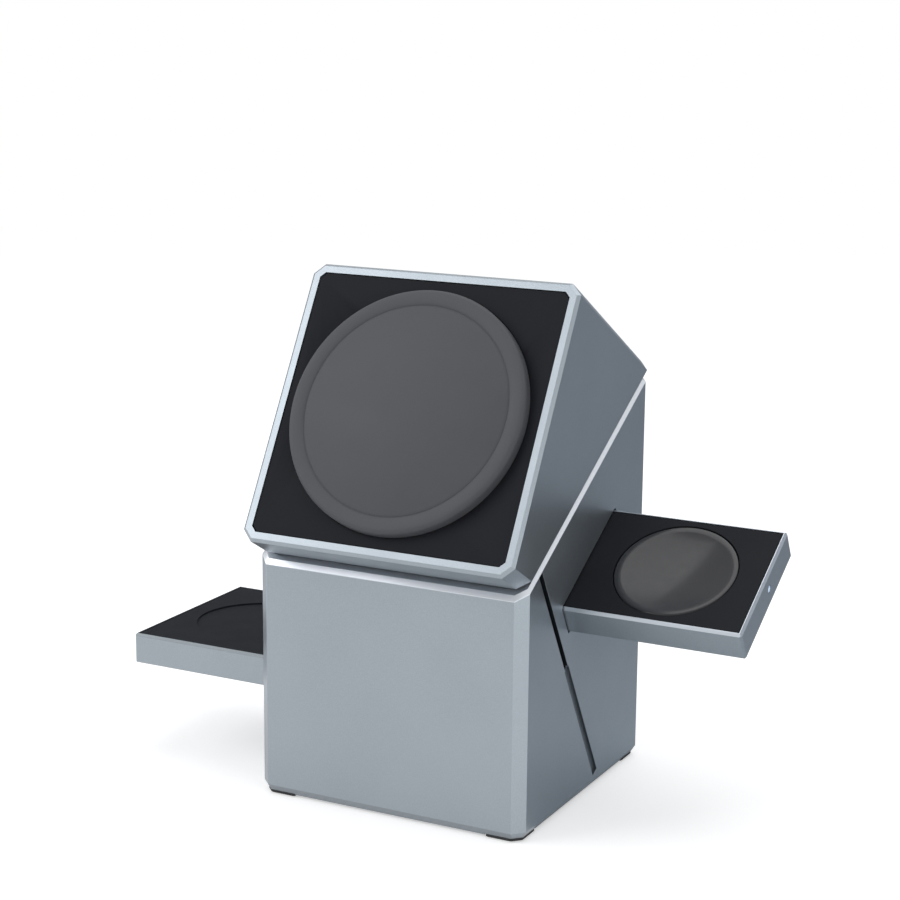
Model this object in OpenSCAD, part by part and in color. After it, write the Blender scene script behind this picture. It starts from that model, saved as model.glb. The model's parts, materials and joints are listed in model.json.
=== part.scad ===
// Folding wireless charger: a square metal block cut on a slope.
// Its head turns half round on the cut to hold a phone upright, and a
// charging tray slides out of each side. The origin is the middle of the
// footprint, at the surface the block stands on; X runs left to right.

/* [Block] */
// Width of the block, left to right
block_w = 66; // [64:0.5:70]
// Depth of the block, front to back
block_d = 66; // [64:0.5:70]
// Height of the base at its front edge, without the feet
front_h = 54.3; // [52:0.1:58]
// Slope of the cut between base and head, in degrees
cut_angle = 30; // [28:0.5:31]
// Thickness of the head at its thin end
head_thin = 10; // [9.5:0.5:14]
// Chamfer on the upright edges of the block
edge_chamfer = 2.5; // [1.5:0.5:3]
// Bevel along the cut and round the phone face
rim_bevel = 0.7; // [0.3:0.1:0.8]
// How far the bevel round the underside goes in
base_bevel = 1; // [0.4:0.1:1.2]
// How far the bevel round the underside goes up
base_bevel_h = 1.7; // [0.8:0.1:2]
// Wall of the metal casings
wall = 2.2; // [1.8:0.2:2.4]

/* [Swivel] */
// How far the head is turned from closed; 180 holds the phone up
head_turn = 180; // [0:5:180]
// Distance of the swivel axis up the slope from the middle of the cut
swivel_off = 1.1; // [0:0.1:1.5]
// Gap between the base's rim and the head's rim
head_gap = 0.5; // [0.4:0.1:0.8]
// How far each deck lies below its rim
deck_sink = 0.4; // [0.3:0.1:0.6]
// Thickness of the two decks
deck_t = 3; // [2.5:0.5:3]
// Outer radius of the hollow swivel shaft
shaft_r = 7; // [6:0.5:7.5]
// Radius of the circle that the stop pin runs on
stop_r = 24; // [22:0.5:24]
// Radius of the stop pin
stop_pin_r = 1.5; // [1:0.1:1.6]

/* [Trays] */
// How far the watch tray is pulled out
watch_out = 40.8; // [0:0.1:40.8]
// How far the earbud tray is pulled out
ear_out = 40.8; // [0:0.1:40.8]
// Travel of both trays
tray_travel = 40.8; // [38:0.1:41]
// Length of both trays, outer end to tail
tray_len = 58; // [54:0.5:60]
// Thickness of both trays
tray_t = 7.2; // [7:0.1:7.6]
// Width of the watch tray, along the slope
watch_w = 32.3; // [31:0.1:34]
// Distance up the slope from the front edge to the watch tray
watch_s = 13.3; // [12.8:0.1:14]
// Distance from the cut down to the watch tray's top
watch_drop = 15.7; // [15.5:0.1:16.5]
// Width of the earbud tray, front to back
ear_w = 46; // [42:0.5:46.5]
// Height of the middle of the earbud tray above the metal underside
ear_z = 24.6; // [24:0.1:25.5]
// Running clearance all round a tray
tray_gap = 0.35; // [0.3:0.05:0.4]
// Wall of the plastic sleeves that the trays run in
sleeve_wall = 1.6; // [1.2:0.1:1.6]
// Bevel on the upper and upright edges of a tray
tray_bevel = 0.55; // [0.4:0.05:0.9]
// Bevel on the lower edges of a tray
tray_low_bevel = 0.3; // [0.2:0.1:0.8]
// Wall and floor of a tray's metal shell
tray_wall = 1.4; // [1.2:0.1:1.5]
// Thickness of a tray's cover
cover_t = 1.2; // [1:0.1:1.4]

/* [Charging faces] */
// Radius of the round phone pad
pad_r = 28; // [26:0.5:28.5]
// How far the phone pad stands above the face
pad_proud = 2.5; // [1:0.5:3]
// Outer radius of the phone magnet ring
magnet_r = 27; // [26:0.5:27.5]
// Number of magnets in the ring
magnet_count = 18; // [12:2:24]
// Radius of the watch puck
puck_r = 13.8; // [13:0.1:14]
// Radius of the dish in the puck's top
dish_r = 70; // [50:1:90]

/* [Right side slot] */
// Distance up the slope from the front edge to the slot's middle
slot_s = 8.4; // [7:0.1:9]
// Width of the open slot
slot_w = 1.7; // [1:0.1:1.8]
// Width of the shallow groove
groove_w = 2.3; // [1.8:0.1:2.6]
// Distance below the cut where the slot starts
slot_from = 0.9; // [0.8:0.1:2]
// Distance below the cut where the open slot ends
slot_to = 30.1; // [27:0.1:32]
// Distance below the cut where the shallow groove ends
groove_to = 64; // [60:0.5:67]
// Depth of the shallow groove
groove_depth = 0.6; // [0.4:0.1:0.8]

/* [Feet and inlet] */
// How far the feet stand below the metal
foot_h = 0.4; // [0.3:0.1:1.5]
// Side of a square corner foot
foot_size = 9; // [8.5:0.5:11]
// Depth that a foot is let into the base plate
foot_sink = 0.6; // [0.4:0.1:0.8]
// Height of the notch in the casing's corner for the foot's edge
foot_notch = 0.3; // [0.2:0.1:0.5]
// Thickness of the base plate
plate_t = 2.2; // [2:0.1:2.5]
// Width of the charging socket's metal shell
socket_w = 8.94; // [8.8:0.01:9]
// Height of the charging socket's metal shell
socket_h = 3.26; // [3.2:0.01:3.3]
// Length of the charging socket's metal shell
socket_len = 7.35; // [7:0.05:8]

/* [Hidden] */
$fn = 64;
far = 160;
metal = [0.50, 0.53, 0.57];
steel = [0.72, 0.73, 0.75];
dark = [0.09, 0.10, 0.11];
copper = [0.78, 0.44, 0.22];
ferrite = [0.24, 0.24, 0.26];
laminate = [0.06, 0.20, 0.15];

// cut_dir is square to the slope and points up; cut_level is the slope's distance along it.
cut_dir = [0, -sin(cut_angle), cos(cut_angle)];
cut_level = block_d / 2 * sin(cut_angle) + front_h * cos(cut_angle);
slope_len = block_d / cos(cut_angle);
swivel_s = slope_len / 2 + swivel_off;
closed_h = front_h + block_d * tan(cut_angle) + head_thin;

// A place on the side of the block, s up the slope and d square below it, as [y, z].
function on_side(s, d) = [
    s * cos(cut_angle) + d * sin(cut_angle) - block_d / 2,
    front_h + s * sin(cut_angle) - d * cos(cut_angle)];
swivel_yz = on_side(swivel_s, 0);
swivel_at = [0, swivel_yz.x, swivel_yz.y];

// The base stands back so that the turned head's lip and tail are centred.
turned_y = 2 * swivel_off * cos(cut_angle);
lip_y = turned_y - block_d / 2 - head_thin * sin(2 * cut_angle) + rim_bevel * cos(2 * cut_angle);
tail_y = turned_y + block_d / 2 - 2 * head_gap * sin(cut_angle) - rim_bevel;
base_y = -(lip_y + tail_y) / 2;

inner_w = block_w - 2 * wall;
inner_d = block_d - 2 * wall;
inner_chamfer = edge_chamfer - wall * (2 - sqrt(2));
fit_gap = 0.15;
deck_w = inner_w - 2 * fit_gap;
deck_d = inner_d - 2 * fit_gap;
foot_inset = 0.85;
foot_chamfer = edge_chamfer - foot_inset * (2 - sqrt(2));
groove_lap = 0.5;

// Small hardware.
screw_r = 1.2;
screw_hole_r = 1.3;
screw_head_r = 2.3;
screw_head_h = 1.3;
screw_len = 6;
hex_depth = 0.8;
boss_r = 4;
corner_boss_at = 27;
corner_boss_h = 10;
deck_boss_s = [9, 64];
deck_boss_h = 7;
head_boss_s = 12;
head_boss_h = 6;
small_screw_r = 0.9;
small_head_r = 1.7;
leg_x = 26;
leg_y = 16;
leg_r = 3.2;
sleeve_len = block_w - 2 * wall - 0.8;
sleeve_start = wall + 0.2;
stop_from_tail = 5;
web_x = [-24, 20];
web_t = 2;

// The swivel stack, measured down from the cut.
bush_wall = 1.5;
bush_flange_r = 11;
bush_flange_t = 0.8;
washer_t = 0.5;
washer_rise = 0.5;
nut_r = 11.5;
nut_t = 3;
deck_under = deck_sink + deck_t;
washer_top = deck_under + bush_flange_t + 0.1;
nut_top = washer_top + washer_t + washer_rise + 0.1;
shaft_end = nut_top + nut_t + 0.5;
head_deck_low = head_gap + deck_sink;
head_deck_top = head_deck_low + deck_t;
flange_r = 13;
flange_t = 2.4;
shaft_bore_r = 5;
shaft_screw_ring = 10.2;
thrust_inner_r = 9.5;
thrust_outer_r = 18;
stop_depth = 1.4;

// The phone charging stack, measured down from the face.
panel_t = 2;
panel_sink = 0.2;
ledge_w = 1.2;
ledge_h = 1.4;
pad_seat = 0.8;
stack_top = panel_sink + panel_t + 0.1;
magnet_t = 2.1;
magnet_w = 4;
coil_r = 21.5;
coil_hole_r = 9;
coil_t = 1.4;
shield_t = 0.8;
carrier_t = 1.2;
carrier_r = 28.6;
carrier_top = stack_top + coil_t + shield_t;
carrier_lug_ring = 31;
board_t = 1.2;

// The trays, measured from their outer ends and from half their thickness.
coil_x = -tray_travel / 2;
stop_x = stop_from_tail - tray_len;
tray_floor = tray_wall - tray_t / 2;
tray_top = tray_t / 2 - 0.1;
tray_lip = 0.15;
cover_inset = tray_bevel + tray_lip + 0.1;
puck_t = 3.4;
puck_rim = 1.2;
puck_seat_h = 0.4;
watch_shield_t = 0.7;
light_r = 0.85;
light_y = 1.6;
ear_seat_h = 2;
ear_seat_r = 17.5;
ear_shield_t = 0.8;
ear_dish_r = 15;
ear_dish_h = 0.4;

// The main board lies on short posts on the base plate.
post_h = 3.8;
post_in = 3;
board_z = plate_t + post_h;
board_w = 42;
board_d = 46;
board_rear_y = block_d / 2 - wall - 0.6;

// Parts soldered to the boards: [x, y, width, depth, height].
main_parts = [[-6, 20, 7, 7, 0.9], [6, 18, 6, 6, 0.9], [-14, 8, 7.2, 6.6, 3], [2, 8, 7.2, 6.6, 3]];
can_x = [-13, -7, 11];
can_y = 31;
can_r = 2.1;
can_h = 5.4;
tray_parts = [[3, -4, 5, 5, 0.8], [2, 4, 3, 3, 1.4]];
tray_board_t = 0.8;
head_board_drop = 16.5;
head_board_size = [36, 22];
head_parts = [[6, 4, 7, 7, 2.4], [20, 6, 5, 5, 0.9]];
socket_z = board_z + board_t + socket_h / 2;
socket_y = block_d / 2 - 0.5;

module plan(w, d, c) {
    polygon([
        for (k = [0:3]) let (sx = k == 0 || k == 3 ? 1 : -1, sy = k < 2 ? 1 : -1)
        for (j = [0:1]) let (first = (j == 0) == (sx * sy > 0))
            [sx * (w / 2 - (first ? 0 : c)), sy * (d / 2 - (first ? c : 0))]]);
}

// Everything past the plane where v dotted with a point gives k.
module beyond(v, k) {
    rotate([0, acos(v.z / norm(v)), atan2(v.y, v.x)])
        translate([-far, -far, k / norm(v)]) cube(2 * far);
}

// The bevel where the plane (v, k) meets the eight sides of the block: b in from
// the side, and b / lean back from the plane.
module rim(v, k, b, lean = 1) {
    for (i = [0:7]) {
        side = [cos(45 * i), sin(45 * i), 0];
        side_k = i % 2 == 1 ? (block_w / 2 + block_d / 2 - edge_chamfer) / sqrt(2)
            : i % 4 == 0 ? block_w / 2 : block_d / 2;
        beyond(side + lean * v, side_k + lean * k - b);
    }
}

module base_at() { translate([0, base_y, foot_h]) children(); }
module swivel() { translate(swivel_at) rotate([cut_angle, 0, 0]) children(); }
module head_at() {
    base_at() translate(swivel_at) rotate(a = head_turn, v = cut_dir)
        translate(-swivel_at) children();
}
// On the slope from the block's front edge: x, s up the slope, height square to it.
module slope() {
    translate([0, -block_d / 2, front_h]) rotate([cut_angle, 0, 0]) children();
}
module watch_bay() {
    slope() translate([block_w / 2, watch_s + watch_w / 2, -watch_drop - tray_t / 2])
        children();
}
module ear_bay() {
    mirror([1, 0, 0]) translate([block_w / 2, 0, ear_z]) children();
}
module watch_at() { base_at() watch_bay() translate([watch_out, 0, 0]) children(); }
module ear_at() { base_at() ear_bay() translate([ear_out, 0, 0]) children(); }
module face_at() { translate([0, 0, closed_h]) children(); }

module ring(r_out, r_in, h) {
    difference() {
        cylinder(r = r_out, h = h);
        translate([0, 0, -1]) cylinder(r = r_in, h = h + 2);
    }
}

// An upright outline with b cut off its upper corners and low off its lower ones.
module profile(w, h, b, low) {
    polygon([[w / 2, low - h / 2], [w / 2, h / 2 - b], [w / 2 - b, h / 2],
        [b - w / 2, h / 2], [-w / 2, h / 2 - b], [-w / 2, low - h / 2],
        [low - w / 2, -h / 2], [w / 2 - low, -h / 2]]);
}

// A box with a bevel on all its edges: three bevelled outlines crossed.
module bevel_box(size, b, low) {
    intersection() {
        translate([0, 0, -size.z / 2]) linear_extrude(size.z) plan(size.x, size.y, b);
        rotate([90, 0, 0]) translate([0, 0, -size.y / 2])
            linear_extrude(size.y) profile(size.x, size.z, b, low);
        rotate([90, 0, 90]) translate([0, 0, -size.x / 2])
            linear_extrude(size.x) profile(size.y, size.z, b, low);
    }
}

// A countersunk screw, its head's top at z = 0 and its shank going down.
module flat_screw(r, head_r, head_h, len) {
    difference() {
        union() {
            translate([0, 0, -head_h]) cylinder(r1 = r, r2 = head_r, h = head_h);
            translate([0, 0, -len]) cylinder(r = r, h = len);
        }
        translate([0, 0, -hex_depth]) cylinder(r = r * 0.75, h = 2 * hex_depth, $fn = 6);
    }
}
module flat_screw_hole(r, head_r, head_h, depth) {
    translate([0, 0, -head_h]) cylinder(r1 = r, r2 = head_r + 0.1, h = head_h + 0.01);
    translate([0, 0, -depth]) cylinder(r = r, h = depth + 1);
}

module corners(x, y) {
    for (sx = [-1, 1], sy = [-1, 1]) translate([sx * x, sy * y, 0]) children();
}
module deck_corners() {
    for (sx = [-1, 1], s = deck_boss_s) slope() translate([sx * corner_boss_at, s, 0]) children();
}
module head_corners() {
    for (sx = [-1, 1], s = [head_boss_s, slope_len - head_boss_s])
        slope() translate([sx * corner_boss_at, s, head_deck_low]) children();
}

module tray_window(w) {
    rotate([90, 0, 90]) translate([0, 0, -1.5 * wall]) linear_extrude(3 * wall)
        profile(w + 2 * tray_gap, tray_t + 2 * tray_gap, tray_bevel, tray_low_bevel);
}

// The corner (sx, sy) of the block, as far in as a foot reaches.
module foot_corner(sx, sy, gap, low, high) {
    translate([sx > 0 ? block_w / 2 - foot_size - gap : -block_w,
            sy > 0 ? block_d / 2 - foot_size - gap : -block_d, low])
        cube([block_w / 2 + foot_size + gap, block_d / 2 + foot_size + gap, high - low]);
}

module base_shell() {
    color(metal) base_at() difference() {
        union() {
            difference() {
                linear_extrude(closed_h) plan(block_w, block_d, edge_chamfer);
                translate([0, 0, -1]) linear_extrude(closed_h + 2)
                    plan(inner_w, inner_d, inner_chamfer);
            }
            translate([0, 0, plate_t]) corners(corner_boss_at, corner_boss_at)
                cylinder(r = boss_r, h = corner_boss_h);
            deck_corners() translate([0, 0, -deck_under - deck_boss_h])
                cylinder(r = boss_r, h = deck_boss_h);
        }
        beyond(cut_dir, cut_level);
        rim(cut_dir, cut_level, rim_bevel);
        rim([0, 0, -1], 0, base_bevel, base_bevel / base_bevel_h);
        for (sx = [-1, 1], sy = [-1, 1]) foot_corner(sx, sy, 0.1, -1, foot_notch);
        watch_bay() tray_window(watch_w);
        ear_bay() tray_window(ear_w);
        slope() translate([block_w / 2 - 1.5 * wall, slot_s - slot_w / 2, -slot_to])
            cube([3 * wall, slot_w, slot_to - slot_from]);
        slope() translate([block_w / 2 - groove_depth, slot_s - groove_w / 2, -groove_to])
            cube([3 * wall, groove_w, groove_to - slot_to + groove_lap]);
        translate([0, block_d / 2, socket_z]) socket_outline(3 * wall, 0.25);
        corners(corner_boss_at, corner_boss_at) cylinder(r = screw_hole_r, h = plate_t + 7);
        deck_corners() translate([0, 0, -deck_under - 5])
            cylinder(r = screw_hole_r, h = 6);
    }
}

// Part of the block's inside between two planes parallel to the cut.
module deck_plate(low, high) {
    difference() {
        linear_extrude(closed_h) plan(deck_w, deck_d, inner_chamfer);
        beyond(cut_dir, cut_level + high);
        beyond(-cut_dir, -cut_level - low);
    }
}

module base_deck() {
    color(metal) base_at() difference() {
        deck_plate(-deck_under, -deck_sink);
        swivel() translate([0, 0, -deck_under - 1])
            cylinder(r = shaft_r + 0.1 + bush_wall, h = deck_t + 2);
        swivel() stop_groove();
        deck_corners() translate([0, 0, -deck_sink])
            flat_screw_hole(screw_hole_r, screw_head_r, screw_head_h, deck_t + 1);
    }
}

// Half a ring with round ends, which lets the head turn through 180 degrees.
module stop_groove() {
    w = stop_pin_r + 0.3;
    translate([0, 0, -deck_sink - stop_depth - 0.4]) {
        intersection() {
            ring(stop_r + w, stop_r - w, deck_t);
            translate([-far, -2 * far, -1]) cube([2 * far, 2 * far, deck_t + 2]);
        }
        for (sx = [-1, 1]) translate([sx * stop_r, 0, 0]) cylinder(r = w, h = deck_t);
    }
}

module base_plate() {
    color(dark) base_at() difference() {
        union() {
            linear_extrude(plate_t) plan(deck_w, deck_d, inner_chamfer);
            for (sx = [-1, 1], y = board_posts())
                translate([sx * (board_w / 2 - post_in), y, 0]) cylinder(r = 2.2, h = board_z);
        }
        mirror([0, 0, 1]) corners(corner_boss_at, corner_boss_at)
            translate([0, 0, -foot_sink])
            flat_screw_hole(screw_hole_r, screw_head_r, screw_head_h, plate_t + 1);
        mirror([0, 0, 1]) corners(leg_x, leg_y)
            flat_screw_hole(screw_hole_r, screw_head_r, screw_head_h, plate_t + 1);
        foot_pads(0.1);
    }
}
function board_posts() = [board_rear_y - board_d + 4, board_rear_y - 9];

// The pads' recesses, sunk in the base plate's corners.
module foot_pads(gap) {
    for (sx = [-1, 1], sy = [-1, 1]) foot_pad(sx, sy, gap);
}
module foot_pad(sx, sy, gap) {
    intersection() {
        translate([0, 0, -foot_h]) linear_extrude(foot_h + foot_sink)
            plan(deck_w, deck_d, inner_chamfer);
        foot_corner(sx, sy, gap, -foot_h, foot_sink);
    }
}

// Its outer edge reaches up into the casing's notch.
module foot(sx, sy) {
    color([0.06, 0.06, 0.07]) base_at() union() {
        foot_pad(sx, sy, 0);
        intersection() {
            translate([0, 0, -foot_h]) linear_extrude(foot_h + foot_notch)
                plan(block_w - 2 * foot_inset, block_d - 2 * foot_inset, foot_chamfer);
            foot_corner(sx, sy, 0, -foot_h, foot_notch);
        }
    }
}
module foot_front_left() { foot(-1, -1); }
module foot_front_right() { foot(1, -1); }
module foot_rear_left() { foot(-1, 1); }
module foot_rear_right() { foot(1, 1); }

module plate_screws() {
    color(steel) base_at() mirror([0, 0, 1]) corners(corner_boss_at, corner_boss_at)
        translate([0, 0, -foot_sink]) flat_screw(screw_r, screw_head_r, screw_head_h, screw_len);
}
module deck_screws() {
    color(steel) base_at() deck_corners() translate([0, 0, -deck_sink])
        flat_screw(screw_r, screw_head_r, screw_head_h, screw_len);
}
module frame_screws() {
    color(steel) base_at() mirror([0, 0, 1]) corners(leg_x, leg_y)
        flat_screw(screw_r, screw_head_r, screw_head_h, screw_len);
}

// One rectangular tube for a tray, with a slot in its floor for the stop screw.
module sleeve(w) {
    grow = 2 * tray_gap + 2 * sleeve_wall;
    translate([-sleeve_start - sleeve_len, -(w + grow) / 2, -(tray_t + grow) / 2])
        cube([sleeve_len, w + grow, tray_t + grow]);
}
module sleeve_hollow(w) {
    translate([-far, -w / 2 - tray_gap, -tray_t / 2 - tray_gap])
        cube([far, w + 2 * tray_gap, tray_t + 2 * tray_gap]);
    slot = small_head_r + 0.3;
    translate([stop_x - slot, -slot, -tray_t])
        cube([tray_travel + 2 * slot, 2 * slot, tray_t / 2]);
}

// Two sleeves, the webs between them and four legs, moulded as one piece.
module inner_frame() {
    below = watch_drop + tray_t + tray_gap + sleeve_wall / 2;
    low = on_side(watch_s, below);
    high = on_side(watch_s + watch_w, below);
    ear_top = ear_z + tray_t / 2 + tray_gap + sleeve_wall / 2;
    leg_h = ear_z - tray_t / 2 - tray_gap - sleeve_wall / 2 - plate_t;
    color(dark) base_at() difference() {
        union() {
            ear_bay() sleeve(ear_w);
            watch_bay() sleeve(watch_w);
            for (x = web_x) translate([x, 0, 0]) rotate([90, 0, 90]) linear_extrude(web_t)
                polygon([low, high, [high.x, ear_top], [low.x - 6, ear_top]]);
            corners(leg_x, leg_y) translate([0, 0, plate_t]) cylinder(r = leg_r, h = leg_h);
        }
        ear_bay() sleeve_hollow(ear_w);
        watch_bay() sleeve_hollow(watch_w);
        corners(leg_x, leg_y) cylinder(r = screw_hole_r, h = plate_t + 6);
    }
}

module main_board() {
    color(laminate) base_at() translate([0, board_rear_y - board_d, board_z]) {
        difference() {
            translate([-board_w / 2, 0, 0]) cube([board_w, board_d, board_t]);
            for (sx = [-1, 1], y = board_posts())
                translate([sx * (board_w / 2 - post_in), y - board_rear_y + board_d, -1])
                    cylinder(r = small_screw_r, h = board_t + 2);
        }
        translate([0, 0, board_t]) {
            board_parts(main_parts);
            board_parts([for (x = [-16:4:16]) [x, 2, 1.6, 0.8, 0.6]]);
            for (x = can_x) translate([x, can_y, 0]) cylinder(r = can_r, h = can_h);
        }
    }
}
module board_parts(parts) {
    for (p = parts) translate([p[0], p[1], 0]) cube([p[2], p[3], p[4]]);
}

// A flat oval, as the socket's outline, lying across the back wall.
module socket_outline(len, gap) {
    r = socket_h / 2 + gap;
    rotate([90, 0, 0]) translate([0, 0, -len / 2]) linear_extrude(len) {
        square([socket_w - socket_h, 2 * r], center = true);
        for (sx = [-1, 1]) translate([sx * (socket_w - socket_h) / 2, 0]) circle(r = r);
    }
}
module usb_c_socket() {
    color(steel) base_at() translate([0, socket_y, socket_z]) {
        difference() {
            translate([0, -socket_len / 2, 0]) socket_outline(socket_len, 0);
            translate([0, -socket_len / 2 + 1.2, 0]) socket_outline(socket_len, -0.3);
        }
        translate([-3.35, -socket_len + 0.6, -0.35]) cube([6.7, 5.4, 0.7]);
    }
}

module swivel_bush() {
    color([0.86, 0.85, 0.80]) base_at() swivel() {
        translate([0, 0, -deck_under]) ring(shaft_r + 0.1 + bush_wall, shaft_r + 0.1, deck_t);
        translate([0, 0, -deck_under - bush_flange_t])
            ring(bush_flange_r, shaft_r + 0.1, bush_flange_t);
    }
}
module thrust_ring() {
    color([0.86, 0.85, 0.80]) base_at() swivel() translate([0, 0, -deck_sink])
        ring(thrust_outer_r, thrust_inner_r, deck_sink + head_deck_low - 0.1);
}

module head_shell() {
    ledge = closed_h - panel_sink - panel_t;
    color(metal) head_at() difference() {
        union() {
            difference() {
                linear_extrude(closed_h) plan(block_w, block_d, edge_chamfer);
                translate([0, 0, -1]) linear_extrude(closed_h + 2)
                    plan(inner_w, inner_d, inner_chamfer);
            }
            translate([0, 0, ledge - ledge_h]) linear_extrude(ledge_h) difference() {
                plan(inner_w + 1, inner_d + 1, inner_chamfer);
                plan(inner_w - 2 * ledge_w, inner_d - 2 * ledge_w, inner_chamfer);
            }
            intersection() {
                head_corners() translate([0, 0, deck_t]) cylinder(r = boss_r, h = head_boss_h);
                linear_extrude(ledge) plan(block_w - wall, block_d - wall, edge_chamfer);
            }
        }
        beyond(-cut_dir, -cut_level - head_gap);
        rim(-cut_dir, -cut_level - head_gap, rim_bevel);
        rim([0, 0, 1], closed_h, rim_bevel);
        head_corners() cylinder(r = screw_hole_r, h = deck_t + 3);
    }
}

module head_deck() {
    color(metal) head_at() difference() {
        deck_plate(head_deck_low, head_deck_top);
        swivel() cylinder(r = shaft_r + 0.1, h = 10);
        swivel() shaft_screw_places() cylinder(r = small_screw_r + 0.1, h = 10);
        swivel() translate([stop_r, 0, 0]) cylinder(r = stop_pin_r, h = 10);
        head_corners() mirror([0, 0, 1])
            flat_screw_hole(screw_hole_r, screw_head_r, screw_head_h, deck_t + 1);
    }
}
module head_deck_screws() {
    color(steel) head_at() head_corners() mirror([0, 0, 1])
        flat_screw(screw_r, screw_head_r, screw_head_h, screw_len - 1);
}

module shaft_screw_places() {
    for (a = [45:90:315]) rotate([0, 0, a]) translate([shaft_screw_ring, 0, 0]) children();
}
// Hollow, so that the coil's leads pass down into the base.
module swivel_shaft() {
    color(steel) head_at() swivel() difference() {
        union() {
            translate([0, 0, -shaft_end]) cylinder(r = shaft_r, h = shaft_end + head_deck_top);
            translate([0, 0, head_deck_top]) cylinder(r = flange_r, h = flange_t);
        }
        translate([0, 0, -shaft_end - 1])
            cylinder(r = shaft_bore_r, h = shaft_end + head_deck_top + flange_t + 2);
        translate([0, 0, head_deck_top]) shaft_screw_places()
            translate([0, 0, -1]) cylinder(r = small_screw_r + 0.1, h = flange_t + 2);
    }
}
module shaft_screws() {
    color(steel) head_at() swivel() shaft_screw_places()
        translate([0, 0, head_deck_top + flange_t]) {
            cylinder(r = small_head_r, h = 1.1);
            translate([0, 0, -4]) cylinder(r = small_screw_r, h = 4.1);
        }
}
// A coned disc spring that loads the swivel, so that the head stays where it is put.
module spring_washer() {
    color(steel) head_at() swivel() translate([0, 0, -nut_top + 0.05])
        rotate_extrude() polygon([[shaft_r + 0.2, 0], [shaft_r + 0.2, washer_t],
            [bush_flange_r, washer_t + washer_rise], [bush_flange_r, washer_rise]]);
}
module swivel_nut() {
    color(steel) head_at() swivel() translate([0, 0, -nut_top - nut_t]) difference() {
        cylinder(r = nut_r, h = nut_t, $fn = 6);
        translate([0, 0, -1]) cylinder(r = shaft_r, h = nut_t + 2);
    }
}
module stop_pin() {
    color(steel) head_at() swivel() translate([stop_r, 0, -deck_sink - stop_depth])
        cylinder(r = stop_pin_r, h = deck_sink + stop_depth + head_deck_top - 0.2);
}

module carrier_lugs() {
    for (a = [45:90:315]) rotate([0, 0, a]) translate([carrier_lug_ring, 0, 0]) children();
}
module phone_panel() {
    color(dark) head_at() face_at() difference() {
        union() {
            translate([0, 0, -panel_sink - panel_t]) linear_extrude(panel_t)
                plan(deck_w, deck_d, inner_chamfer);
            carrier_lugs() translate([0, 0, -carrier_top])
                cylinder(r = 2, h = carrier_top - panel_sink - panel_t / 2);
        }
        translate([0, 0, -panel_sink - pad_seat]) cylinder(r = pad_r + 0.1, h = 5);
        carrier_lugs() translate([0, 0, -carrier_top - 1]) cylinder(r = small_screw_r, h = 3.4);
    }
}
// A soft round pad, dished a little towards its middle and rounded at its edge.
module phone_pad() {
    edge = 1;
    color([0.13, 0.13, 0.14]) head_at() face_at()
        translate([0, 0, -panel_sink - pad_seat]) rotate_extrude() union() {
            square([pad_r - edge, pad_proud + panel_sink + pad_seat]);
            square([pad_r, pad_proud + panel_sink + pad_seat - edge]);
            translate([pad_r - edge, pad_proud + panel_sink + pad_seat - edge])
                circle(r = edge);
        }
}
module phone_magnets() {
    color(steel) head_at() face_at() translate([0, 0, -carrier_top])
        for (i = [0:magnet_count - 1]) rotate([0, 0, (i + 0.5) * 360 / magnet_count])
            magnet(360 / magnet_count - 2);
}
// One arc magnet: a slice of the ring between two planes through its axis.
module magnet(arc) {
    difference() {
        ring(magnet_r, magnet_r - magnet_w, magnet_t);
        for (s = [-1, 1]) rotate([0, 0, s * arc / 2]) translate([-far, s > 0 ? 0 : -2 * far, -1])
            cube([2 * far, 2 * far, magnet_t + 2]);
        translate([-2 * far, -far, -1]) cube([2 * far, 2 * far, magnet_t + 2]);
    }
}
module phone_shield() {
    color(ferrite) head_at() face_at() translate([0, 0, -carrier_top])
        cylinder(r = coil_r + 0.8, h = shield_t);
}
module phone_coil() {
    color(copper) head_at() face_at() translate([0, 0, shield_t - carrier_top])
        ring(coil_r, coil_hole_r, coil_t);
}
// A moulded disc with a rib round the shield, and a lug at each screw.
module coil_carrier() {
    color([0.82, 0.82, 0.80]) head_at() face_at() translate([0, 0, -carrier_top - carrier_t])
        difference() {
            union() {
                cylinder(r = carrier_r, h = carrier_t);
                translate([0, 0, carrier_t])
                    ring(magnet_r - magnet_w - 0.1, coil_r + 0.9, magnet_t - 0.3);
                carrier_lugs() cylinder(r = 3.2, h = carrier_t);
            }
            translate([0, 0, -1]) cylinder(r = 4, h = carrier_t + 2);
            carrier_lugs() translate([0, 0, -1]) cylinder(r = small_screw_r + 0.1, h = 4);
        }
}
module carrier_screws() {
    color(steel) head_at() face_at() carrier_lugs()
        translate([0, 0, -carrier_top - carrier_t]) {
            translate([0, 0, -1]) cylinder(r = small_head_r, h = 1);
            translate([0, 0, -0.1]) cylinder(r = small_screw_r - 0.05, h = carrier_t + 2);
        }
}
// It hangs from the coil carrier on two posts, its parts downwards.
module head_board() {
    color(laminate) head_at() face_at()
        translate([-head_board_size.x / 2, -block_d / 4 - 12, -head_board_drop]) {
            cube([head_board_size.x, head_board_size.y, board_t]);
            for (p = head_parts) translate([p[0], p[1], -p[4]]) cube([p[2], p[3], p[4]]);
            for (sx = [-1, 1]) translate([head_board_size.x / 2 + sx * 14, 16, board_t])
                cylinder(r = 1.6, h = head_board_drop - board_t - carrier_top - carrier_t);
        }
}

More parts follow.
